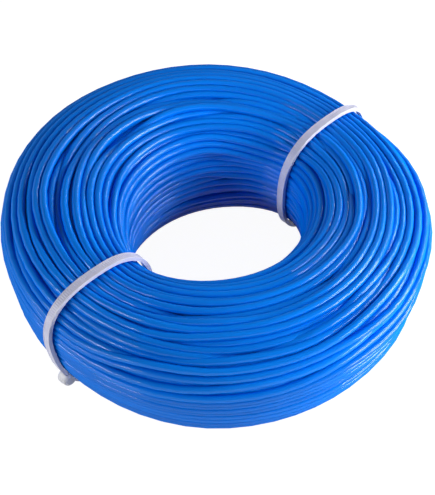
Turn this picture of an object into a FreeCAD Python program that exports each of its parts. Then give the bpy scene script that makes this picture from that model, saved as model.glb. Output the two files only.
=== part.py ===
import FreeCAD, Part
import math
import os
import re
import Sketcher

# A hand-sized hank of round monofilament line, wound with no spool and held by two nylon ties.
# Frame: +Z up through the middle of the eye, origin on the floor, millimetres and degrees.
# A section of the hank is taken by a half-plane through Z at an azimuth that is counted from +X.
# The place on a section is a turn angle: 0 faces outwards, 90 up, 180 into the eye, 270 down.

Vector = FreeCAD.Vector

DIMENSIONS = [
    ("line_diameter", 2.0, "round line"),
    ("coil_radius", 39.0, "axis of the hank to the middle of its section"),
    ("coil_oval", 1.25, "how much further out the section stands at the ties, and in between them"),
    ("coil_height", 38.7, "mean height of the hank"),
    ("height_swing", 2.7, "the winding stands this much higher on one side, and lower on the other"),
    ("swing_azimuth", 175.0, "the high side"),
    ("section_half_width", 17.4, "half of the section's width, away from the ties"),
    ("section_power", 2.6, "2 is an ellipse, more is squarer"),
    ("section_flare", 0.106, "the section is this share wider at its shoulders than at its middle"),
    ("section_lean", 1.5, "the top of the section leans outwards"),
    ("tie_azimuth", 44.0, "rear tie, and the front tie is opposite"),
    ("waist_spread", 33.3, "angle over which a tie pulls the turns together"),
    ("waist_width_loss", 2.27, "half width lost at a tie"),
    ("waist_drop", 2.0, "top pulled down at a tie"),
    ("waist_lift", 1.9, "underside pulled up at a tie"),
    ("strap_gap", 0.3, "clear space between the tie and the hank"),
    ("strap_width", 2.2, "tie strap"),
    ("strap_thickness", 1.0, "tie strap"),
    ("strap_stub", -0.3, "cut end of the tail, from the outer face of the head"),
    ("bend_radius", 0.95, "middle of the strap where it turns into the head"),
    ("tooth_pitch", 0.7, "ratchet teeth"),
    ("tooth_depth", 0.22, "ratchet teeth"),
    ("head_turn", -30.0, "turn angle of the head on the section"),
    ("head_length", 4.8, "along the strap"),
    ("head_width", 3.6, "across the strap"),
    ("head_height", 3.2, "away from the hank"),
    ("head_corner", 2.1, "round outer corners"),
    ("head_edge", 1.3, "rounded side edges"),
    ("slot_shift", -0.75, "strap slot from the head's middle"),
    ("slot_gap", 0.13, "clear space round the strap in the slot"),
    ("cheek_gap", 0.15, "clear space at each side of the strap in the slot"),
    ("pawl_floor", 0.5, "plastic left under the pawl"),
    ("pawl_room", 1.3, "space behind the strap for the pawl to swing"),
    ("pawl_width", 2.2, "across the strap"),
    ("pawl_thickness", 0.45, "at the root"),
    ("pawl_play", 0.1, "pawl teeth to the slopes of the strap's teeth"),
    ("pawl_drop", 0.16, "pawl teeth to the steps of the strap's teeth"),
]
SECTION_STEPS = 24
RING_STEPS = 24
STRAP_STEPS = 48
FLOOR_BLOCK_SPAN = 4.0

doc = FreeCAD.newDocument("line_hank")


def make_sheet():
    sheet = doc.addObject("Spreadsheet::Sheet", "Dimensions")
    for row, (alias, number, note) in enumerate(DIMENSIONS, start=1):
        sheet.set(f"A{row}", alias)
        sheet.set(f"B{row}", str(number))
        sheet.set(f"C{row}", note)
        sheet.setAlias(f"B{row}", alias)
    doc.recompute()
    return sheet


sheet = make_sheet()


def dim(alias):
    return float(sheet.get(alias))


def signed_power(base, power):
    return math.copysign(abs(base) ** power, base)


def tie_grip(azimuth):
    """1 under a tie, falling to 0 between the ties; azimuths in radians."""
    away = (azimuth - math.radians(dim("tie_azimuth")) + math.pi / 2) % math.pi - math.pi / 2
    return math.exp(-(away / math.radians(dim("waist_spread"))) ** 2)


def section_point(azimuth, turn):
    """Distance from the axis and height of one point of the hank's surface; angles in radians."""
    grip = tie_grip(azimuth)
    oval = dim("coil_oval") * math.cos(2 * (azimuth - math.radians(dim("tie_azimuth"))))
    half_width = dim("section_half_width") - dim("waist_width_loss") * grip
    sink = dim("line_diameter") / 4
    swing = dim("height_swing") * math.cos(azimuth - math.radians(dim("swing_azimuth")))
    low = dim("waist_lift") * grip - sink
    high = dim("coil_height") + swing - dim("waist_drop") * grip
    across = signed_power(math.cos(turn), 2 / dim("section_power"))
    upward = signed_power(math.sin(turn), 2 / dim("section_power"))
    radius = dim("coil_radius") + oval + dim("section_lean") * upward
    radius += half_width * across * (1 + dim("section_flare") * upward)
    return radius, (low + high) / 2 + (high - low) / 2 * upward


def spline_poles(values):
    """Poles of a closed uniform cubic spline that passes through the values."""
    poles = list(values)
    for _ in range(60):
        for i in range(len(poles)):
            poles[i] = (values[i] * 6.0 - poles[i - 1] - poles[(i + 1) % len(poles)]) * 0.25
    return poles


def coil_form():
    """The hank's outer shape as one smooth closed surface."""
    rows = []
    for i in range(RING_STEPS):
        azimuth = 2 * math.pi * i / RING_STEPS
        ring_row = []
        for k in range(SECTION_STEPS):
            radius, height = section_point(azimuth, 2 * math.pi * (k + 0.5) / SECTION_STEPS)
            ring_row.append(Vector(radius * math.cos(azimuth), radius * math.sin(azimuth), height))
        rows.append(spline_poles(ring_row))
    columns = [spline_poles([row[k] for row in rows]) for k in range(SECTION_STEPS)]
    poles = [[column[i] for column in columns] for i in range(RING_STEPS)]
    surface = Part.BSplineSurface()
    surface.buildFromPolesMultsKnots(
        poles, [1] * (RING_STEPS + 1), [1] * (SECTION_STEPS + 1),
        list(range(RING_STEPS + 1)), list(range(SECTION_STEPS + 1)), True, True, 3, 3)
    solid = Part.Solid(Part.Shell([surface.toShape()]))
    return solid if solid.Volume > 0 else solid.reversed()


def make_line_coil():
    """The hank, flat where its lowest turns lie on the floor."""
    form = doc.addObject("Part::Feature", "coil_form")
    form.Shape = coil_form()
    floor = doc.addObject("Part::Box", "floor_block")
    for side in ("Length", "Width"):
        floor.setExpression(side, f"Dimensions.coil_radius * {FLOOR_BLOCK_SPAN}")
    floor.setExpression("Height", "Dimensions.line_diameter")
    half = f"-Dimensions.coil_radius * {FLOOR_BLOCK_SPAN / 2}"
    floor.setExpression("Placement.Base.x", half)
    floor.setExpression("Placement.Base.y", half)
    floor.setExpression("Placement.Base.z", "-Dimensions.line_diameter")
    coil = doc.addObject("Part::Cut", "line_coil")
    coil.Base = form
    coil.Tool = floor
    coil.Label = "line_coil"
    doc.recompute()
    return coil


class TieFrame:
    """Where one tie's head sits on its section: place, outward normal and direction along the strap."""

    def __init__(self, azimuth_degrees):
        self.azimuth_degrees = azimuth_degrees
        self.azimuth = math.radians(azimuth_degrees)
        turn = math.radians(dim("head_turn"))
        self.place = self.surface(turn)
        self.normal = self.outward(turn)
        self.along = self.ahead(turn)

    def surface(self, turn):
        radius, height = section_point(self.azimuth, turn)
        return Vector(radius, height, 0)

    def ahead(self, turn):
        step = 1e-4
        return (self.surface(turn + step) - self.surface(turn - step)).normalize()

    def outward(self, turn):
        ahead = self.ahead(turn)
        return Vector(ahead.y, -ahead.x, 0)

    def off(self, turn, distance):
        return self.surface(turn) + self.outward(turn) * distance

    def at(self, along, away):
        """A point of the section's plane, from the head's own two directions."""
        return self.place + self.along * along + self.normal * away

    def reach(self, point):
        return (point - self.place).dot(self.along)

    def turn_where(self, test, low, high):
        """The turn angle between low and high at which the growing test value passes 0."""
        for _ in range(50):
            middle = (low + high) / 2
            if test(middle) < 0:
                low = middle
            else:
                high = middle
        return (low + high) / 2

    def placement(self):
        """Head frame in space: X along the strap, Z away from the hank."""
        radial = Vector(math.cos(self.azimuth), math.sin(self.azimuth), 0)
        up = Vector(0, 0, 1)
        x_axis = radial * self.along.x + up * self.along.y
        z_axis = radial * self.normal.x + up * self.normal.y
        base = radial * self.place.x + up * self.place.y
        return FreeCAD.Placement(base, FreeCAD.Rotation(x_axis, z_axis.cross(x_axis), z_axis, "ZXY"))


def new_body(label):
    body = doc.addObject("PartDesign::Body", label)
    body.Label = label
    return body


def new_sketch(body, name):
    """A sketch on the body's own upright plane."""
    sketch = body.newObject("Sketcher::SketchObject", name)
    plane = [f for f in body.Origin.OriginFeatures if f.Role == "XZ_Plane"][0]
    sketch.AttachmentSupport = [(plane, "")]
    sketch.MapMode = "FlatFace"
    return sketch


def lines_through(points):
    return [Part.LineSegment(a, b) for a, b in zip(points, points[1:])]


def bound(text):
    """Expression that reads each cell name of the text from the sheet."""
    return re.sub("[a-z_]+", lambda name: f"Dimensions.{name[0]}", text)


def pin_point(sketch, geometry, point, across, up):
    """Holds one point of the sketch at a place given in cell names."""
    origin, origin_point = -1, 1
    for kind, text in (("DistanceX", across), ("DistanceY", up)):
        size = float(sheet.evalExpression(text))
        index = sketch.addConstraint(
            Sketcher.Constraint(kind, origin, origin_point, geometry, point, size))
        sketch.setExpression(f"Constraints[{index}]", bound(text))


def draw_outline(sketch, corners, arc_centre=None, arc_angles=None):
    """Closed outline through corners given in cell names; its last side can be an arc."""
    points = [Vector(*(float(sheet.evalExpression(text)) for text in corner)) for corner in corners]
    if arc_centre is None:
        points.append(points[0])
    sketch.addGeometry(lines_through(points))
    start, end, centre = 1, 2, 3
    sides = len(points) - 1
    for i in range(sides):
        pin_point(sketch, i, start, *corners[i])
        if i + 1 < sides:
            sketch.addConstraint(Sketcher.Constraint("Coincident", i, end, i + 1, start))
    if arc_centre is None:
        sketch.addConstraint(Sketcher.Constraint("Coincident", sides - 1, end, 0, start))
        return
    pin_point(sketch, sides - 1, end, *corners[-1])
    middle = Vector(*(float(sheet.evalExpression(text)) for text in arc_centre))
    circle = Part.Circle(middle, Vector(0, 0, 1), middle.distanceToPoint(points[0]))
    arc = sketch.addGeometry(Part.ArcOfCircle(circle, *(math.radians(a) for a in arc_angles)))
    sketch.addConstraint(Sketcher.Constraint("Coincident", arc, start, sides - 1, end))
    sketch.addConstraint(Sketcher.Constraint("Coincident", arc, end, 0, start))
    height = sketch.addConstraint(Sketcher.Constraint("DistanceY", -1, 1, arc, centre, middle.y))
    sketch.setExpression(f"Constraints[{height}]", bound(arc_centre[1]))


def pad_both_ways(body, sketch, name, width):
    pad = body.newObject("PartDesign::Pad", name)
    pad.Profile = sketch
    pad.Midplane = True
    pad.setExpression("Length", width)
    doc.recompute()
    return pad


def pocket_both_ways(body, sketch, name, width):
    before = body.Shape.Volume
    pocket = body.newObject("PartDesign::Pocket", name)
    pocket.Profile = sketch
    pocket.Midplane = True
    pocket.setExpression("Length", width)
    doc.recompute()
    if body.Shape.Volume >= before:
        raise RuntimeError(f"{name} cut nothing")
    return pocket


def spline_edge(points):
    curve = Part.BSplineCurve()
    curve.interpolate(points)
    return curve


def strap_run(frame, start, stop, distance):
    """Points of the strap's loop round the section, at one distance from the hank."""
    steps = range(STRAP_STEPS + 1)
    return [frame.off(start + (stop - start) * i / STRAP_STEPS, distance) for i in steps]


def tail_teeth(frame, bottom, top):
    """Ratchet teeth on the side of the tail that faces the pawl, from the bend to the cut end."""
    face = dim("slot_shift") + dim("strap_thickness") / 2
    points = [frame.at(face, bottom)]
    for i in range(int((top - bottom) / dim("tooth_pitch"))):
        root = bottom + (i + 1) * dim("tooth_pitch")
        points.append(frame.at(face - dim("tooth_depth"), root))
        points.append(frame.at(face, root))
    points.append(frame.at(face, top))
    return lines_through(points)


def make_strap(prefix, frame):
    """Closed loop of strap that leaves the head, goes round the section and turns out through the slot."""
    inner_gap = dim("strap_gap")
    outer_gap = inner_gap + dim("strap_thickness")
    middle_gap = inner_gap + dim("strap_thickness") / 2
    bend = dim("bend_radius")
    head = math.radians(dim("head_turn"))
    quarter = math.pi / 2
    root = dim("head_length") / 2

    def root_turn(distance):
        return frame.turn_where(lambda a: frame.reach(frame.off(a, distance)) - root, head, head + quarter)

    def bend_centre(turn):
        return frame.off(turn, middle_gap + bend)

    tail_turn = frame.turn_where(
        lambda a: frame.reach(bend_centre(a)) + bend - dim("slot_shift"), head - quarter, head)
    stop = tail_turn + 2 * math.pi
    centre = bend_centre(tail_turn)
    inward = frame.outward(tail_turn) * -1
    halfway = (inward + frame.along).normalize()
    top = dim("strap_gap") + dim("head_height") + dim("strap_stub")
    bottom = (centre - frame.place).dot(frame.normal)

    inner_run = strap_run(frame, root_turn(inner_gap), stop, inner_gap)
    outer_run = strap_run(frame, root_turn(outer_gap), stop, outer_gap)
    inner_bend = bend + dim("strap_thickness") / 2
    outer_bend = bend - dim("strap_thickness") / 2
    inner_end = frame.at(dim("slot_shift") + dim("strap_thickness") / 2, bottom)
    outer_end = frame.at(dim("slot_shift") - dim("strap_thickness") / 2, bottom)
    outline = [
        spline_edge(inner_run),
        Part.Arc(inner_run[-1], centre + halfway * inner_bend, inner_end),
        Part.Arc(outer_run[-1], centre + halfway * outer_bend, outer_end),
        spline_edge(outer_run),
        Part.LineSegment(inner_run[0], outer_run[0]),
    ]
    outline += tail_teeth(frame, bottom, top)
    outline += lines_through([
        frame.at(dim("slot_shift") + dim("strap_thickness") / 2, top),
        frame.at(dim("slot_shift") - dim("strap_thickness") / 2, top),
        outer_end])

    body = new_body(f"{prefix}_tie_strap")
    sketch = new_sketch(body, f"{prefix}_strap_profile")
    sketch.addGeometry(outline)
    body.Tip = pad_both_ways(body, sketch, f"{prefix}_strap_band", "Dimensions.strap_width")
    body.Placement = FreeCAD.Placement(
        Vector(), FreeCAD.Rotation(Vector(0, 0, 1), frame.azimuth_degrees))
    return body


SLOT_NEAR = "slot_shift - strap_thickness / 2 - slot_gap"
SLOT_FAR = "slot_shift + strap_thickness / 2 + slot_gap"
TOOTH_FACE = "slot_shift + strap_thickness / 2"
BEND_HEIGHT = "strap_gap + strap_thickness / 2 + bend_radius"
PAWL_FLOOR = "strap_gap + pawl_floor"
BEYOND = "3 * head_length"


def head_outline(sketch):
    side = "head_length / 2"
    top = "strap_gap + head_height"
    draw_outline(sketch, [
        (f"-{side}", "strap_gap"), (side, "strap_gap"), (side, top), (f"-{side}", top)])


def passage_outline(sketch):
    """Way of the strap through the head: in from below at one end, round a bend and straight out."""
    ceiling = "strap_gap + strap_thickness + slot_gap"
    corner = "slot_shift - bend_radius"
    draw_outline(sketch, [
        (SLOT_NEAR, BEND_HEIGHT),
        (SLOT_NEAR, BEYOND),
        (SLOT_FAR, BEYOND),
        (SLOT_FAR, f"-{BEYOND}"),
        (f"-{BEYOND}", f"-{BEYOND}"),
        (f"-{BEYOND}", ceiling),
        (corner, ceiling),
    ], (corner, BEND_HEIGHT), (270, 360))


def pawl_room_outline(sketch):
    """Space beside the slot in which the pawl swings, open to the outside."""
    far = f"{SLOT_FAR} + pawl_room"
    draw_outline(sketch, [
        (TOOTH_FACE, PAWL_FLOOR), (far, PAWL_FLOOR), (far, BEYOND), (TOOTH_FACE, BEYOND)])


def pawl_outline(sketch):
    """Tongue that stands up from a round root, with two teeth that catch the strap's steps."""
    root = "pawl_thickness / 2"
    pivot = (f"{TOOTH_FACE} + pawl_thickness", f"{PAWL_FLOOR} + slot_gap / 4 + {root}")
    valley = f"{TOOTH_FACE} + pawl_play"
    crest = f"{TOOTH_FACE} + pawl_play - tooth_depth"
    first_step = f"{BEND_HEIGHT} + tooth_pitch - pawl_drop"
    draw_outline(sketch, [
        (f"{pivot[0]} + {root}", pivot[1]),
        (f"{pivot[0]} + 1.5 * {root}", f"{first_step} + tooth_pitch / 2"),
        (f"{pivot[0]}", f"{first_step} + tooth_pitch"),
        (crest, f"{first_step} + tooth_pitch"),
        (valley, first_step),
        (crest, first_step),
        (valley, f"{first_step} - tooth_pitch"),
        (f"{pivot[0]} - {root}", pivot[1]),
    ], pivot, (180, 360))


def head_edges(shape, test):
    """Names of the edges whose middle point passes the test."""
    middles = [edge.valueAt((edge.FirstParameter + edge.LastParameter) / 2) for edge in shape.Edges]
    return [f"Edge{i}" for i, middle in enumerate(middles, start=1) if test(middle)]


def round_edges(body, base, name, edges, radius):
    rounding = body.newObject("PartDesign::Fillet", name)
    rounding.Base = (base, edges)
    rounding.setExpression("Radius", radius)
    doc.recompute()
    return rounding


def make_head(prefix, frame):
    """Moulded head with its strap passage and the room for the pawl."""
    body = new_body(f"{prefix}_tie_head")
    outline = new_sketch(body, f"{prefix}_head_outline")
    head_outline(outline)
    block = pad_both_ways(body, outline, f"{prefix}_head_block", "Dimensions.head_width")
    top = dim("strap_gap") + dim("head_height")
    end = dim("head_length") / 2
    long_corners = head_edges(block.Shape, lambda p: p.z > top - 1e-6 and abs(p.x) > end - 1e-6)
    rounded = round_edges(
        body, block, f"{prefix}_head_corners", long_corners, "Dimensions.head_corner")
    side = dim("head_width") / 2
    rims = head_edges(
        rounded.Shape, lambda p: abs(p.y) > side - 1e-6 and p.z > dim("strap_gap") + 1e-6)
    round_edges(body, rounded, f"{prefix}_head_rims", rims, "Dimensions.head_edge")
    slot_width = bound("strap_width + 2 * cheek_gap")
    passage = new_sketch(body, f"{prefix}_passage_outline")
    passage_outline(passage)
    pocket_both_ways(body, passage, f"{prefix}_strap_passage", slot_width)
    room = new_sketch(body, f"{prefix}_room_outline")
    pawl_room_outline(room)
    body.Tip = pocket_both_ways(body, room, f"{prefix}_pawl_room", slot_width)
    body.Placement = frame.placement()
    return body


def make_pawl(prefix, frame):
    """Toothed tongue; its round root lets it swing clear of the head."""
    body = new_body(f"{prefix}_tie_pawl")
    sketch = new_sketch(body, f"{prefix}_pawl_outline")
    pawl_outline(sketch)
    body.Tip = pad_both_ways(body, sketch, f"{prefix}_pawl_tongue", "Dimensions.pawl_width")
    body.Placement = frame.placement()
    return body


def make_tie(prefix, azimuth_degrees):
    frame = TieFrame(azimuth_degrees)
    return [make_strap(prefix, frame), make_head(prefix, frame), make_pawl(prefix, frame)]


def check_and_export(parts):
    doc.recompute()
    for item in doc.Objects:
        if "Invalid" in item.State or "Error" in item.State:
            raise RuntimeError(f"{item.Label} failed: {item.State}")
    for part in parts:
        if part.Shape.isNull() or not part.Shape.isValid() or len(part.Shape.Solids) != 1:
            raise RuntimeError(f"{part.Label} is not one good solid")
    os.makedirs("parts", exist_ok=True)
    for part in parts:
        part.Shape.exportStep(f"parts/{part.Label}.step")
        print(part.Label, "volume", round(part.Shape.Volume, 2), "mm3")


def main():
    parts = [make_line_coil()]
    parts += make_tie("rear", dim("tie_azimuth"))
    parts += make_tie("front", dim("tie_azimuth") + 180)
    check_and_export(parts)


main()
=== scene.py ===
"""Looks of a spool-less hank of blue monofilament line held by two nylon ties."""
import math

import bpy
import numpy as np
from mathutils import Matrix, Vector
from mathutils.bvhtree import BVHTree


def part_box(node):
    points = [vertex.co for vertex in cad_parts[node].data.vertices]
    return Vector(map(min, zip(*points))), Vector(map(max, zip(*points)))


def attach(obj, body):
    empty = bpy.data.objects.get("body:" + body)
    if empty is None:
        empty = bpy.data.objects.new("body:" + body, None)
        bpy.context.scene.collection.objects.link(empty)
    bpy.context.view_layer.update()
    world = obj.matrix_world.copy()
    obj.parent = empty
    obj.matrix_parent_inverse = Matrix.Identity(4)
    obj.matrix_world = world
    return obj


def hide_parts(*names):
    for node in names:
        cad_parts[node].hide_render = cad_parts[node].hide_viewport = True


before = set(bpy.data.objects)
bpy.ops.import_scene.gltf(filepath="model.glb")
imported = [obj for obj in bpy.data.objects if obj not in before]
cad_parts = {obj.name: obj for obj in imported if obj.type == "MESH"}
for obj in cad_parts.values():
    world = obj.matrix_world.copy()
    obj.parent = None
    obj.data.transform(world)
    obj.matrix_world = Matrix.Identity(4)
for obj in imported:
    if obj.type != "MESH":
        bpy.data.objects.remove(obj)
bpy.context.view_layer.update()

# Line and winding, in metres and turns
LINE_DIAMETER = 0.002
STATIONS = 60
DIRECTIONS = 96
SEED = 7
START_DIRECTION = math.radians(250)
PROUD = 0.00025

# Distance between strands, in line diameters, along a shell and from shell to shell
DENSE_SHELLS = 2
DENSE_PITCH = 1.03
DENSE_STEP = 0.87
LOOSE_PITCH = 1.20
LOOSE_STEP = 1.06
LOOSE_WIDTH = 1.2

# Relaxation of the turns
STEPS = 200
NEIGHBOURS = 12
REFRESH = 20
PUSH_SHARE = 0.7
OUTWARD = 0.15
LINE_SMOOTHING = (1, 2, 3, 2, 1)
LEAST_DISTANCE = 1e-9

# How the strands sway and how deep those of the outer shell lie, in metres and turns
SWAY = 0.0002
SWAY_SPACING = 0.5
SHALLOW = 0.0006
SUNK = 0.0014
SUNK_LEAST = 0.6
SUNK_SPREAD = 0.6
SUNK_SHARE = 0.18
RELIEF_SPACING = 0.4
INNER_RELIEF = LINE_DIAMETER * 0.6
PULLED_WIDTH = math.radians(11)
TIE_CLEARANCE = 0.0004
TAIL_STATIONS = 24
TAIL_DEPTH = 0.004

# Swellings of the hank: azimuth, direction in the section, their spreads in degrees, and height
SWELLINGS = (
    (145, 30, 22, 30, 0.0007),
    (192, -8, 12, 30, -0.0012),
    (213, -22, 16, 30, 0.0009),
    (27, 22, 20, 30, 0.0005),
    (-14, -4, 12, 34, -0.0016),
    (-90, 135, 75, 40, -0.0003),
)

# Grooves between the bundles: depth, then azimuth and direction in the section along each. Both are
# in degrees, as are the width and the ramp at the two ends. Azimuths are counted from GROOVE_LEAD
# degrees before a groove's start, and it ends GROOVE_FOOT widths to each side of its middle.
GROOVE_WIDTH = 3.4
GROOVE_RAMP = 16
GROOVE_LEAD = 60
GROOVE_FOOT = 1.5
GROOVES = (
    (0.0015, ((-134, 72), (-121, 77), (-104, 82), (-82, 85), (-66, 87), (-42, 84))),
    (0.0011, ((-127, 55), (-108, 67), (-89, 72), (-73, 77), (-59, 75))),
    (0.0016, ((-126, 50), (-110, 55), (-90, 59), (-73, 63), (-63, 61), (-49, 56), (-38, 53))),
    (0.0013, ((-121, 43), (-106, 44), (-90, 46), (-80, 47), (-57, 44), (-49, 37))),
    (0.0009, ((-102, 0), (-90, 1), (-77, 6), (-62, 9))),
    (0.0016, ((-8, 113), (3, 109), (15, 108), (38, 107), (64, 114), (90, 115), (113, 114),
              (129, 111), (155, 107))),
    (0.0011, ((56, 94), (74, 95), (90, 95), (115, 93))),
    (0.0012, ((47, 98), (63, 102), (90, 103), (120, 100))),
    (0.0013, ((149, 92), (161, 89), (175, 84), (188, 84), (194, 84))),
    (0.0012, ((162, 107), (174, 103), (185, 105), (194, 107))),
    (0.0013, ((176, 65), (182, 64), (192, 65), (202, 70), (210, 74))),
    (0.0014, ((73, 186), (91, 178), (113, 177))),
    (0.0012, ((73, 159), (91, 155), (106, 152))),
    (0.0012, ((-25, 93), (-13, 91), (2, 88), (9, 84), (20, 79))),
    (0.0011, ((-10, 76), (1, 76), (10, 71))),
    (0.0014, ((-58, 30), (-50, 31), (-44, 32), (-31, 34), (-24, 30), (-14, 18))),
    (0.0014, ((196, 22), (205, 34), (211, 42), (218, 45), (224, 47))),
)

# Tube of the line, and how its rings are thinned out where it lies deep inside
TUBE_SIDES = 10
HIDDEN_DEPTH = 0.0046
HIDDEN_STRIDE = 4

# Looks of the line: tone along the line in turns, smears and streaks in metres
LINE_GLOSS = 0.28
LINE_DEEP = (0.0, 0.165, 0.72)
LINE_LIGHT = (0.0, 0.205, 0.85)
LINE_ROUGHNESS = (0.09, 0.14)
GLOSS_FADE = (0.2, 0.7)
NOISE_LOW, NOISE_HIGH = 0.3, 0.7
TONE_SCALE = 2.5
SMEAR_SCALE = 160
STREAK_RUN = 4.0
STREAK_SCALE = 4.0
STREAK_DEPTH = 0.00001

# Looks of the ties: pale and dull tone, and how milky. The strap's lilac-grey tone is painted blue
# light from the line under it. The web's darker, bluer tone is painted shade between the rails,
# with more painted blue light.
MOULDED_NYLON = ((0.86, 0.86, 0.91), (0.80, 0.80, 0.87), 0.8)
STRAP_NYLON_PAINTED_BLUE_LIGHT = ((0.67, 0.67, 0.78), (0.61, 0.61, 0.74), 0)
WEB_NYLON_PAINTED_SHADE = ((0.64, 0.65, 0.82), (0.56, 0.57, 0.76), 0)
CLOUD_SCALE = 350
GRAIN_SCALE = 4000
GRAIN_DEPTH = 0.00001
NYLON_ROUGHNESS = (0.3, 0.42)
MILK_DEPTH = 0.003

# Studio: greys, and each lamp's name, azimuth, elevation, distance, width and height, and power
FLOOR_REACH = 12.0
FLOOR_GREY = 0.8
FLOOR_SHADOW_GREY = 0.2
FLOOR_GLOW = 0.95
WORLD_GREY = 0.13
LAMP_AIM = Vector((0, 0, 0.02))
LAMPS = (
    ("right_low", -14, 9, 0.26, (0.18, 0.05), 0.58),
    ("right_high", 2, 30, 0.28, (0.2, 0.03), 0.38),
    ("back_right", 25, 27, 0.6, (0.7, 0.03), 1.6),
    ("left", 210, 25, 0.6, (0.5, 0.04), 2.0),
)
BACKDROP_HEIGHT = 0.25

# Relief on the outer face of a tie's strap, in metres
FACE_POINTS = 400
STRAP_HALF_WIDTH = 0.00108
RAIL_WIDTH = 0.0003
RAIL_HEIGHT = 0.0001
RIB_PITCH = 0.0006
RIB_HEIGHT = 0.00007
WEB_HEIGHT = 0.00002
RELIEF_ROOT = 0.00004
RELIEF_SMOOTHING = (1, 1, 1, 1, 1, 1, 1)
WEB_SIDE = 4
HEAD_DIRECTION = math.radians(-30)
HEAD_CLEARANCE = math.radians(17)

# Camera, found from the outline of the object in the photograph
CAMERA_DISTANCE = 0.312
CAMERA_ELEVATION = math.radians(48.38)
CAMERA_LENS = 84.78
SENSOR = 36
CLIP_START = 0.01
PHOTO_WIDTH, PHOTO_HEIGHT = 435, 495
RING_CENTRE_PIXEL = (218.24, 238.89)
AIM_HEIGHT = 0.01935


def wrapped(angle):
    """The same angle between minus and plus half a turn."""
    return (angle + math.pi) % (2 * math.pi) - math.pi


def eased(share):
    """A share from 0 to 1 that starts and ends gently."""
    return share * share * (3 - 2 * share)


def section_angle(places):
    """Direction in the section of each place."""
    return np.arctan2(places[..., 1], places[..., 0]) % (2 * math.pi)


def surface_of(node):
    """Surface of a node, to cast rays at."""
    return BVHTree.FromPolygons(
        [v.co for v in node.data.vertices], [tuple(p.vertices) for p in node.data.polygons])


def place_in_scene(name, data):
    """A new object with this data, linked to the scene."""
    item = bpy.data.objects.new(name, data)
    bpy.context.scene.collection.objects.link(item)
    return item


def axis_spline(curve_name, points):
    """One open smooth spline that has these points as its control points."""
    curve = bpy.data.curves.new(curve_name, "CURVE")
    curve.dimensions = "3D"
    curve.resolution_u = 1
    spline = curve.splines.new("NURBS")
    spline.points.add(len(points) - 1)
    weighted = np.ones((len(points), 4))
    weighted[:, :3] = points
    spline.points.foreach_set("co", weighted.ravel())
    spline.order_u = 3
    spline.use_endpoint_u = True
    return curve


def spline_line(curve):
    """Points along the middle of the curve."""
    carrier = bpy.data.objects.new("carrier", curve)
    mesh = bpy.data.meshes.new_from_object(carrier)
    line = np.array([v.co for v in mesh.vertices], float).reshape(-1, 3)
    bpy.data.meshes.remove(mesh)
    bpy.data.objects.remove(carrier)
    return line


def section_outlines(azimuths, directions):
    """Centre and outline of the hank's section at each azimuth, as (radius, height) pairs."""
    hull = surface_of(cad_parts["line_coil"])
    centres = []
    outlines = []
    low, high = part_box("line_coil")
    middle = (low.z + high.z) / 2
    for azimuth in azimuths:
        outward = Vector((math.cos(azimuth), math.sin(azimuth), 0))
        inner = hull.ray_cast(Vector((0, 0, middle)), outward)[0]
        outer = hull.ray_cast(outward * high.x * 2 + Vector((0, 0, middle)), -outward)[0]
        radius = (inner.xy.length + outer.xy.length) / 2
        top = hull.ray_cast(outward * radius + Vector((0, 0, high.z * 2)), Vector((0, 0, -1)))[0]
        bottom = hull.ray_cast(outward * radius - Vector((0, 0, high.z)), Vector((0, 0, 1)))[0]
        centre = Vector((radius, (top.z + bottom.z) / 2))
        start = outward * centre.x + Vector((0, 0, centre.y))
        outline = []
        for direction in directions:
            ray = outward * math.cos(direction) + Vector((0, 0, math.sin(direction)))
            hit = hull.ray_cast(start, ray)[0]
            outline.append((hit.xy.length - centre.x, hit.z - centre.y))
        centres.append(centre)
        outlines.append(outline)
    return np.array(centres), np.array(outlines)


def inset_reach(outlines, directions, inset):
    """How far the middle of a strand may lie from each section's centre, in each direction."""
    along = np.roll(outlines, -1, axis=1) - np.roll(outlines, 1, axis=1)
    along /= np.linalg.norm(along, axis=2, keepdims=True)
    inward = np.stack([-along[..., 1], along[..., 0]], axis=2)
    inner = outlines + inward * inset
    reach = []
    for points in inner:
        angles = np.arctan2(points[:, 1], points[:, 0]) % (2 * math.pi)
        order = np.argsort(angles)
        lengths = np.linalg.norm(points, axis=1)
        reach.append(np.interp(directions, angles[order], lengths[order], period=2 * math.pi))
    return np.array(reach)


def shell_sites(outline, directions):
    """Places of the turns on the mean section, shell by shell from the middle out."""
    places = []
    shells = []
    depth = 0.0
    number = 0
    while True:
        reach = inset_reach(outline[None], directions, LINE_DIAMETER / 2 + depth)[0]
        if reach.min() < LINE_DIAMETER:
            break
        ring = np.stack([reach * np.cos(directions), reach * np.sin(directions)], axis=1)
        ring = np.concatenate([ring, ring[:1]])
        run = np.concatenate([[0], np.cumsum(np.linalg.norm(np.diff(ring, axis=0), axis=1))])
        tight = number < DENSE_SHELLS
        pitch = LINE_DIAMETER * (DENSE_PITCH if tight else LOOSE_PITCH)
        count = max(1, round(run[-1] / pitch))
        begin = np.interp(START_DIRECTION, directions, run[:-1])
        at = (begin + (np.arange(count) + 0.5) / count * run[-1]) % run[-1]
        shell = np.stack([np.interp(at, run, ring[:, axis]) for axis in range(2)], axis=1)
        places.append(shell)
        shells.append(np.full(count, number))
        depth += LINE_DIAMETER * (DENSE_STEP if tight else LOOSE_STEP)
        number += 1
    return np.concatenate(places[::-1]), np.concatenate(shells[::-1])


def wandering(random, turns, spacing, draw):
    """A value that drifts smoothly along the whole line, drawn afresh every so many turns."""
    knots = draw(random, int(turns / spacing) + 3)
    at = np.arange(turns * STATIONS) / STATIONS / spacing
    low = at.astype(int)
    share = eased(at - low)
    return (knots[low] * (1 - share) + knots[low + 1] * share).reshape(turns, STATIONS)


def drawn_relief(random, count):
    """How deep a strand of the outer shell lies: mostly shallow, now and then sunk."""
    shallow = random.random(count) * SHALLOW
    sunk = SUNK * (SUNK_LEAST + SUNK_SPREAD * random.random(count))
    return np.where(random.random(count) < SUNK_SHARE, sunk, shallow)


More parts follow.
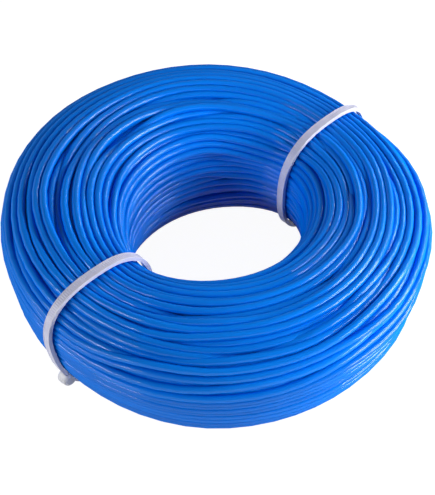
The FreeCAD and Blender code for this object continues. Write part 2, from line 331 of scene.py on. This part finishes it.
def tie_pull(azimuths):
    """How much each station is under a tie, from 0 to 1."""
    pulled = np.zeros(len(azimuths))
    for tie in ("front_tie_strap", "rear_tie_strap"):
        low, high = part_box(tie)
        away = wrapped(azimuths - math.atan2(low.y + high.y, low.x + high.x))
        pulled += np.exp(-(away / PULLED_WIDTH) ** 2)
    return pulled


def swollen(azimuths, directions):
    """Swellings and hollows of the hank, as a change of the reach at each station and direction."""
    total = np.zeros((len(azimuths), len(directions)))
    for azimuth, direction, spread, tall, height in SWELLINGS:
        along = wrapped(azimuths - math.radians(azimuth))
        across = wrapped(directions - math.radians(direction))
        total += height * (np.exp(-(along / math.radians(spread)) ** 2)[:, None]
                           * np.exp(-(across / math.radians(tall)) ** 2)[None])
    return total


def groove_depth(azimuths, angle):
    """How deep the grooves between the bundles sink each turn at each station."""
    total = np.zeros(angle.shape)
    for depth, course in GROOVES:
        first, last = course[0][0], course[-1][0]
        along = (np.degrees(azimuths) - first + 180) % 360 - 180
        along = np.where(along < -GROOVE_LEAD, along + 360, along)
        path = np.interp(
            along, [a - first for a, _ in course], [math.radians(b) for _, b in course])
        ends = eased(np.clip(np.minimum(along, last - first - along) / GROOVE_RAMP + 0.5, 0, 1))
        off = abs(wrapped(angle - path)) / math.radians(GROOVE_WIDTH)
        total = np.maximum(total, depth * ends * np.clip(GROOVE_FOOT - off, 0, 1))
    return total


def smoothed(values, weights):
    """Running mean along the line, which keeps its two ends."""
    flat = values.reshape(-1, values.shape[-1])
    half = len(weights) // 2
    padded = np.concatenate([np.repeat(flat[:1], half, 0), flat, np.repeat(flat[-1:], half, 0)])
    total = sum(w * padded[i:i + len(flat)] for i, w in enumerate(weights))
    return (total / sum(weights)).reshape(values.shape)


def nearest_turns(places):
    """For each station and turn, the numbers of the nearest other turns."""
    found = np.empty((places.shape[0], places.shape[1], NEIGHBOURS), int)
    for k, station in enumerate(places):
        gaps = ((station[:, None] - station[None]) ** 2).sum(2)
        np.fill_diagonal(gaps, np.inf)
        found[k] = np.argpartition(gaps, NEIGHBOURS, axis=1)[:, :NEIGHBOURS]
    return found


def reach_towards(reach, directions, angle):
    """Reach of each station's section in the directions of its turns."""
    return np.stack([np.interp(turns, directions, lengths, period=2 * math.pi)
                     for turns, lengths in zip(angle, reach)])


def laid_turns(random, sites, reach, directions):
    """First places of the turns, each running over to the next site, and their angles."""
    turns = len(sites) - 1
    share = np.arange(STATIONS)[None, :, None] / STATIONS
    places = sites[:-1, None] * (1 - share) + sites[1:, None] * share
    for axis in range(2):
        sway = wandering(random, turns, SWAY_SPACING, lambda r, n: r.normal(size=n))
        places[..., axis] += sway * SWAY
    angle = section_angle(places)
    local = reach_towards(reach, directions, angle.T).T
    mean = np.interp(angle, directions, reach.mean(0), period=2 * math.pi)
    places *= (local / mean)[..., None]
    return places, angle


def strand_relief(random, azimuths, angle, outer):
    """How far below the section's outline each turn stays at each station."""
    relief = wandering(random, len(angle), RELIEF_SPACING, drawn_relief)
    relief = relief + groove_depth(azimuths, angle)
    relief = np.where(outer[:, None], relief, INNER_RELIEF)
    pulled = tie_pull(azimuths)
    relief = ((relief - PROUD) * (1 - pulled) + TIE_CLEARANCE * pulled).T.copy()
    tail = np.linspace(0, 1, TAIL_STATIONS)
    relief[-TAIL_STATIONS:, -1] += TAIL_DEPTH * tail * tail * (3 - 2 * tail)
    return relief


def relaxed(places, directions, reach, relief, width, outer):
    """The places at each station, pushed apart until the strands lie beside and on each other."""
    rows = np.arange(STATIONS)[:, None, None]
    for step in range(STEPS):
        if step % REFRESH == 0:
            others = nearest_turns(places)
        apart = places[:, :, None] - places[rows, others]
        distance = np.linalg.norm(apart, axis=3) + LEAST_DISTANCE
        wanted = (width[None, :, None] + width[others]) / 2
        push = np.maximum(wanted - distance, 0) / distance * 0.5
        shift = (apart * push[..., None]).sum(2) * PUSH_SHARE
        places = places + smoothed(shift.transpose(1, 0, 2), LINE_SMOOTHING).transpose(1, 0, 2)
        length = np.linalg.norm(places, axis=2)
        limit = reach_towards(reach, directions, section_angle(places)) - relief
        held = np.where(outer[None], length + (limit - length) * OUTWARD, length)
        places *= (np.minimum(held, limit) / length)[..., None]
    return places


def wound_turns():
    """Points along the middle of the line, turn after turn, and how deep each lies."""
    random = np.random.default_rng(SEED)
    azimuths = np.arange(STATIONS) / STATIONS * 2 * math.pi
    directions = np.arange(DIRECTIONS) / DIRECTIONS * 2 * math.pi
    centres, outlines = section_outlines(azimuths, directions)
    reach = inset_reach(outlines, directions, LINE_DIAMETER / 2) + swollen(azimuths, directions)
    sites, shells = shell_sites(outlines.mean(0), directions)
    places, angle = laid_turns(random, sites, reach, directions)
    outer = (shells == 0)[:-1]
    relief = strand_relief(random, azimuths, angle, outer)
    dense = (shells < DENSE_SHELLS)[:-1]
    width = np.where(dense, LINE_DIAMETER, LINE_DIAMETER * LOOSE_WIDTH)
    by_station = relaxed(places.transpose(1, 0, 2), directions, reach, relief, width, outer)

    places = smoothed(by_station.transpose(1, 0, 2), LINE_SMOOTHING)
    places[..., 1] = np.maximum(places[..., 1], LINE_DIAMETER / 2 - centres[None, :, 1])
    limit = reach_towards(reach, directions, section_angle(places).T).T
    depth = limit - np.linalg.norm(places, axis=2)
    turn = np.arange(len(places))[:, None] * 2 * math.pi + azimuths[None]
    radius = centres[None, :, 0] + places[..., 0]
    height = centres[None, :, 1] + places[..., 1]
    points = np.stack([radius * np.cos(turn), radius * np.sin(turn), height], axis=2)
    return points.reshape(-1, 3), depth.ravel()


def map_turns(mesh, numbers, sides):
    """Lay the tube out flat, one row for each turn; numbers are the stations of its rings."""
    rows = numbers[-1] // STATIONS + 1
    row = numbers[:-1] // STATIONS
    near = (numbers[:-1] - row * STATIONS) / STATIONS
    far = near + np.diff(numbers) / STATIONS
    side = np.arange(sides) / sides
    low = (row[:, None] + side) / rows
    high = low + 1 / sides / rows
    near = np.broadcast_to(near[:, None], low.shape)
    far = np.broadcast_to(far[:, None], low.shape)
    corners = np.stack([near, low, near, high, far, high, far, low], axis=2)
    caps = np.zeros(4 * sides)
    layer = mesh.uv_layers.new(name="OFBake")
    layer.data.foreach_set("uv", np.concatenate([corners.ravel(), caps]))


def band_mesh(name, rings, clockwise=False):
    """Closed band through rings of equally many points, with a flat cap at each end.

    Rings that run clockwise, seen from the band's start, get their faces the other way round.
    """
    count, sides = rings.shape[:2]
    start = np.arange(count - 1)[:, None] * sides
    first = start + np.arange(sides)
    second = start + (np.arange(sides) + 1) % sides
    corners = [first, second, second + sides, first + sides]
    caps = [list(range(sides))[::-1], list(range((count - 1) * sides, count * sides))]
    if clockwise:
        corners = corners[:1] + corners[:0:-1]
        caps = [cap[::-1] for cap in caps]
    quads = np.stack(corners, axis=2).reshape(-1, 4)
    mesh = bpy.data.meshes.new(name)
    mesh.from_pydata(rings.reshape(-1, 3).tolist(), [], quads.tolist() + caps)
    return mesh


def tube(name, line, numbers, radius, sides):
    """Round tube along a line that runs round the Z axis, closed by a flat cut at each end."""
    along = np.gradient(line, axis=0)
    along /= np.linalg.norm(along, axis=1, keepdims=True)
    outward = line * [1, 1, 0]
    outward -= along * (outward * along).sum(1, keepdims=True)
    outward /= np.linalg.norm(outward, axis=1, keepdims=True)
    upward = np.cross(outward, along)
    turn = np.arange(sides) / sides * 2 * math.pi
    ring = (np.cos(turn)[None, :, None] * outward[:, None]
            + np.sin(turn)[None, :, None] * upward[:, None])
    mesh = band_mesh(name, line[:, None] + ring * radius)
    map_turns(mesh, numbers, sides)
    mesh.shade_smooth()
    return place_in_scene(name, mesh)


def visible_only(depths):
    """Which stations of the line get a ring: all near the surface, a few of those deep inside."""
    keep = depths < HIDDEN_DEPTH
    keep[::HIDDEN_STRIDE] = True
    keep[-1] = True
    return keep


def node_material(name):
    """A new material and its shader."""
    material = bpy.data.materials.new(name)
    material.use_nodes = True
    return material, material.node_tree.nodes["Principled BSDF"]


def math_node(tree, operation, first, second=None):
    """Output of a Math node whose inputs are sockets or numbers."""
    node = tree.nodes.new("ShaderNodeMath")
    node.operation = operation
    for slot, value in zip(node.inputs, (first, second)):
        if isinstance(value, bpy.types.NodeSocket):
            tree.links.new(value, slot)
        elif value is not None:
            slot.default_value = value
    return node.outputs[0]


def noise(tree, scale, detail, dimensions, **links):
    """Value of a noise texture; links names the input sockets to feed."""
    node = tree.nodes.new("ShaderNodeTexNoise")
    node.noise_dimensions = dimensions
    node.inputs["Scale"].default_value = scale
    node.inputs["Detail"].default_value = detail
    for socket, value in links.items():
        tree.links.new(value, node.inputs[socket])
    return node.outputs[0]


def mapped(tree, value, before, after, interpolation="LINEAR"):
    """A value carried over from one range to another."""
    node = tree.nodes.new("ShaderNodeMapRange")
    node.interpolation_type = interpolation
    node.inputs["From Min"].default_value, node.inputs["From Max"].default_value = before
    node.inputs["To Min"].default_value, node.inputs["To Max"].default_value = after
    tree.links.new(value, node.inputs["Value"])
    return node.outputs["Result"]


def spread(tree, value, low, high):
    """A noise value stretched over a range."""
    return mapped(tree, value, (NOISE_LOW, NOISE_HIGH), (low, high))


def blend(tree, share, first, second):
    """Mix of two colours."""
    node = tree.nodes.new("ShaderNodeMix")
    node.data_type = "RGBA"
    node.inputs[6].default_value = (*first, 1)
    node.inputs[7].default_value = (*second, 1)
    tree.links.new(share, node.inputs[0])
    return node.outputs[2]


def bump(tree, shader, height, depth):
    """Fine relief, in metres, on the shader's normal."""
    node = tree.nodes.new("ShaderNodeBump")
    node.inputs["Strength"].default_value = 1.0
    node.inputs["Distance"].default_value = depth
    tree.links.new(height, node.inputs["Height"])
    tree.links.new(node.outputs[0], shader.inputs["Normal"])


def line_material(rows):
    """Blue monofilament whose tone and gloss drift along the line, with faint drawing streaks."""
    material, shader = node_material("blue_monofilament")
    tree = material.node_tree
    shader.inputs["Specular IOR Level"].default_value = LINE_GLOSS
    facing = tree.nodes.new("ShaderNodeLayerWeight")
    facing.inputs["Blend"].default_value = 0.5
    damped = mapped(tree, facing.outputs["Facing"], GLOSS_FADE, (LINE_GLOSS, 0), "SMOOTHSTEP")
    tree.links.new(damped, shader.inputs["Specular IOR Level"])

    layout = tree.nodes.new("ShaderNodeUVMap")
    layout.uv_map = "OFBake"
    across = tree.nodes.new("ShaderNodeSeparateXYZ")
    tree.links.new(layout.outputs[0], across.inputs[0])
    row = math_node(tree, "MULTIPLY", across.outputs["Y"], rows)
    turn = math_node(tree, "ADD", math_node(tree, "FLOOR", row), across.outputs["X"])
    side = math_node(tree, "MULTIPLY", math_node(tree, "FRACT", row), 2 * math.pi)
    drift = noise(tree, TONE_SCALE, 2, "1D", W=turn)
    tone = blend(tree, spread(tree, drift, 0.0, 1.0), LINE_DEEP, LINE_LIGHT)
    tree.links.new(tone, shader.inputs["Base Color"])
    place = tree.nodes.new("ShaderNodeTexCoord").outputs["Object"]
    smear = noise(tree, SMEAR_SCALE, 3, "3D", Vector=place)
    tree.links.new(spread(tree, smear, *LINE_ROUGHNESS), shader.inputs["Roughness"])
    streak = tree.nodes.new("ShaderNodeCombineXYZ")
    tree.links.new(math_node(tree, "COSINE", side), streak.inputs["X"])
    tree.links.new(math_node(tree, "SINE", side), streak.inputs["Y"])
    tree.links.new(math_node(tree, "MULTIPLY", turn, STREAK_RUN), streak.inputs["Z"])
    bump(tree, shader, noise(tree, STREAK_SCALE, 2, "3D", Vector=streak.outputs[0]), STREAK_DEPTH)
    return material


def tie_material(name, pale, dull, milkiness):
    """Natural nylon: milky, a little uneven in tone and gloss, with a fine moulded grain."""
    material, shader = node_material(name)
    tree = material.node_tree
    place = tree.nodes.new("ShaderNodeTexCoord").outputs["Object"]
    cloud = noise(tree, CLOUD_SCALE, 3, "3D", Vector=place)
    tone = blend(tree, spread(tree, cloud, 0.0, 1.0), dull, pale)
    tree.links.new(tone, shader.inputs["Base Color"])
    grain = noise(tree, GRAIN_SCALE, 2, "3D", Vector=place)
    tree.links.new(spread(tree, grain, *NYLON_ROUGHNESS), shader.inputs["Roughness"])
    bump(tree, shader, grain, GRAIN_DEPTH)
    shader.inputs["Subsurface Weight"].default_value = milkiness
    shader.inputs["Subsurface Radius"].default_value = (1, 1, 1)
    shader.inputs["Subsurface Scale"].default_value = MILK_DEPTH
    return material


def make_line():
    """The whole line as one tube, in place of the solid that has the outer shape of its turns."""
    points, depths = wound_turns()
    line = spline_line(axis_spline("line_route", points))
    between = (depths[1:] + depths[:-1]) / 2
    numbers = np.flatnonzero(visible_only(between))
    line = line[numbers]
    piece = tube("wound_line", line, numbers, LINE_DIAMETER / 2, TUBE_SIDES)
    piece.data.materials.append(line_material(numbers[-1] // STATIONS + 1))
    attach(piece, "coil")
    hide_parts("line_coil")


def strap_face(tie):
    """Outer face of a tie's strap, from one side of its head round to the other.

    Gives points in the tie's plane, as (distance outward, height), and its outward direction.
    """
    surface = surface_of(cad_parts[f"{tie}_strap"])
    low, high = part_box(f"{tie}_strap")
    outward = Vector((low.x + high.x, low.y + high.y, 0)).normalized()
    axis = Vector((0, 0, (low.z + high.z) / 2))
    near = surface.ray_cast(axis, outward)[0]
    far = surface.ray_cast(outward * 2 * high.length + axis, -outward)[0]
    middle = (near + far) / 2
    start = HEAD_DIRECTION + HEAD_CLEARANCE
    stop = HEAD_DIRECTION - HEAD_CLEARANCE + 2 * math.pi
    face = []
    for turn in np.linspace(start, stop, FACE_POINTS):
        ray = outward * math.cos(turn) + Vector((0, 0, math.sin(turn)))
        hit = surface.ray_cast(middle + ray * 2 * high.length, -ray)[0]
        face.append(((hit - middle).dot(outward) + middle.dot(outward), hit.z))
    return np.array(face), outward


def relief_rings(face, outward):
    """Cross-sections of the relief along a strap's face: rails at the edges, ribs between."""
    run = np.concatenate([[0], np.cumsum(np.linalg.norm(np.diff(face, axis=0), axis=1))])
    ribs = int(run[-1] / RIB_PITCH)
    at = (np.arange(ribs)[:, None] + [0, 0.25, 0.5, 0.75]).ravel() / ribs * run[-1]
    web = np.tile([RIB_HEIGHT, WEB_HEIGHT, WEB_HEIGHT, RIB_HEIGHT], ribs)
    place = np.stack([np.interp(at, run, face[:, axis]) for axis in range(2)], axis=1)
    along = smoothed(np.gradient(place, axis=0), RELIEF_SMOOTHING)
    along /= np.linalg.norm(along, axis=1, keepdims=True)
    normal = np.stack([along[:, 1], -along[:, 0]], axis=1)
    edge = STRAP_HALF_WIDTH
    crest = edge - RAIL_WIDTH / 4
    foot = edge - RAIL_WIDTH
    across = np.array([-edge, -edge, -crest, -foot, -foot, foot, foot, crest, edge, edge])
    rail = np.full(len(at), RAIL_HEIGHT)
    root = np.full(len(at), -RELIEF_ROOT)
    height = np.stack([root, rail / 2, rail, rail, web, web, rail, rail, rail / 2, root], axis=1)
    spot = place[:, None] + normal[:, None] * height[..., None]
    rings = np.empty((len(at), len(across), 3))
    rings[..., 0] = spot[..., 0] * outward.x + across * -outward.y
    rings[..., 1] = spot[..., 0] * outward.y + across * outward.x
    rings[..., 2] = spot[..., 1]
    return rings


def strap_relief(tie, strap_painted_blue, web_painted_shade):
    """Two rails along the strap's edges and fine ribs across the thinner web between them."""
    rings = relief_rings(*strap_face(tie))
    mesh = band_mesh(f"{tie}_relief", rings, clockwise=True)
    mesh.materials.append(strap_painted_blue)
    mesh.materials.append(web_painted_shade)
    # The web's faces take the darker nylon, whose tone paints the shade between the rails.
    web_faces = np.tile(np.arange(rings.shape[1]) == WEB_SIDE, len(rings) - 1)
    numbers = np.concatenate([web_faces, [0, 0]]).astype(np.int32)
    mesh.polygons.foreach_set("material_index", numbers)
    piece = place_in_scene(f"{tie}_relief", mesh)
    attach(piece, tie)


def dress_ties():
    """Nylon on the ties, and the relief on their straps. The straps' nylon is painted lilac for the
    blue light from the line, and the web's is painted darker for shade between the rails.
    """
    moulded = tie_material("moulded_nylon", *MOULDED_NYLON)
    # The strap's nylon is painted lilac for the blue light that the line gives it. The web's nylon
    # also paints shade.
    strap_painted_blue = tie_material("natural_nylon", *STRAP_NYLON_PAINTED_BLUE_LIGHT)
    web_painted_shade = tie_material("web_nylon_painted_shade", *WEB_NYLON_PAINTED_SHADE)
    for name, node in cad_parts.items():
        if "_tie_" in name:
            node.data.materials.clear()
            node.data.materials.append(strap_painted_blue if name.endswith("strap") else moulded)
    strap_relief("front_tie", strap_painted_blue, web_painted_shade)
    strap_relief("rear_tie", strap_painted_blue, web_painted_shade)


def make_camera():
    """Camera at the photograph's angle, turned so that the ring stands where it does there."""
    camera = place_in_scene("camera", bpy.data.cameras.new("camera"))
    camera.data.lens = CAMERA_LENS
    camera.data.clip_start = CLIP_START
    back = Vector((0, -math.cos(CAMERA_ELEVATION), math.sin(CAMERA_ELEVATION)))
    camera.location = Vector((0, 0, AIM_HEIGHT)) + back * CAMERA_DISTANCE
    camera.rotation_mode = "QUATERNION"
    focal = CAMERA_LENS / SENSOR * PHOTO_HEIGHT
    look = (-back).to_track_quat("-Z", "Y")
    across = (RING_CENTRE_PIXEL[0] - PHOTO_WIDTH / 2) / focal
    down = (RING_CENTRE_PIXEL[1] - PHOTO_HEIGHT / 2) / focal
    turn = Vector((across, -down, -1)).rotation_difference(Vector((0, 0, -1)))
    camera.rotation_quaternion = look @ turn
    bpy.context.scene.camera = camera


def area_light(name, place, aim, size, power):
    """A rectangular lamp that the camera doesn't see."""
    light = place_in_scene(name, bpy.data.lights.new(name, "AREA"))
    light.data.shape = "RECTANGLE"
    light.data.size, light.data.size_y = size
    light.data.energy = power
    light.location = place
    light.rotation_mode = "QUATERNION"
    light.rotation_quaternion = (aim - place).to_track_quat("-Z", "Y")
    light.visible_camera = False


def background_share(tree):
    """1 for the rays that see the background, 0 for those that only carry light."""
    path = tree.nodes.new("ShaderNodeLightPath")
    share = path.outputs["Is Camera Ray"]
    for kind in ("Is Glossy Ray", "Is Transmission Ray"):
        share = math_node(tree, "MAXIMUM", share, path.outputs[kind])
    return share


def mix_shaders(tree, share, first, second, target):
    """Feed a surface with a mix of two shaders."""
    mix = tree.nodes.new("ShaderNodeMixShader")
    tree.links.new(share, mix.inputs[0])
    tree.links.new(first.outputs[0], mix.inputs[1])
    tree.links.new(second.outputs[0], mix.inputs[2])
    tree.links.new(mix.outputs[0], target.inputs["Surface"])


def grey_diffuse(tree, grey):
    """A matt grey shader."""
    shader = tree.nodes.new("ShaderNodeBsdfDiffuse")
    shader.inputs["Color"].default_value = (grey, grey, grey, 1)
    return shader


def floor_material():
    """White ground: for the eye it glows and takes a light shadow, for other rays it is plain."""
    material = bpy.data.materials.new("floor")
    material.use_nodes = True
    tree = material.node_tree
    tree.nodes.clear()
    glow = tree.nodes.new("ShaderNodeEmission")
    glow.inputs["Strength"].default_value = FLOOR_GLOW
    seen = tree.nodes.new("ShaderNodeAddShader")
    tree.links.new(grey_diffuse(tree, FLOOR_SHADOW_GREY).outputs[0], seen.inputs[0])
    tree.links.new(glow.outputs[0], seen.inputs[1])
    output = tree.nodes.new("ShaderNodeOutputMaterial")
    mix_shaders(tree, background_share(tree), grey_diffuse(tree, FLOOR_GREY), seen, output)
    return material


def make_world():
    """Plain grey light from all round, with a white backdrop that fades out above the horizon."""
    world = bpy.data.worlds.new("studio")
    bpy.context.scene.world = world
    world.use_nodes = True
    tree = world.node_tree
    light = tree.nodes["Background"]
    light.inputs["Color"].default_value = (WORLD_GREY, WORLD_GREY, WORLD_GREY, 1)
    backdrop = tree.nodes.new("ShaderNodeBackground")
    backdrop.inputs["Color"].default_value = (1, 1, 1, 1)
    parts = tree.nodes.new("ShaderNodeSeparateXYZ")
    direction = tree.nodes.new("ShaderNodeTexCoord").outputs["Generated"]
    tree.links.new(direction, parts.inputs[0])
    fade = mapped(tree, parts.outputs["Z"], (BACKDROP_HEIGHT, BACKDROP_HEIGHT * 2), (1, 0))
    share = math_node(tree, "MULTIPLY", fade, background_share(tree))
    mix_shaders(tree, share, light, backdrop, tree.nodes["World Output"])


def make_floor():
    """Plain pale ground that the hank lies on."""
    mesh = bpy.data.meshes.new("floor")
    reach = FLOOR_REACH
    corners = [(-reach, -reach, 0), (reach, -reach, 0), (reach, reach, 0), (-reach, reach, 0)]
    mesh.from_pydata(corners, [], [(0, 1, 2, 3)])
    mesh.materials.append(floor_material())
    place_in_scene("floor", mesh)


def make_studio():
    """World, ground and lamps."""
    bpy.context.scene.view_settings.view_transform = "Standard"
    make_world()
    make_floor()
    for name, azimuth, elevation, distance, size, power in LAMPS:
        height = math.radians(elevation)
        out = distance * math.cos(height)
        turn = math.radians(azimuth)
        place = Vector((out * math.cos(turn), out * math.sin(turn), distance * math.sin(height)))
        area_light(name, place + LAMP_AIM, LAMP_AIM, size, power)


make_line()
dress_ties()
make_camera()
make_studio()
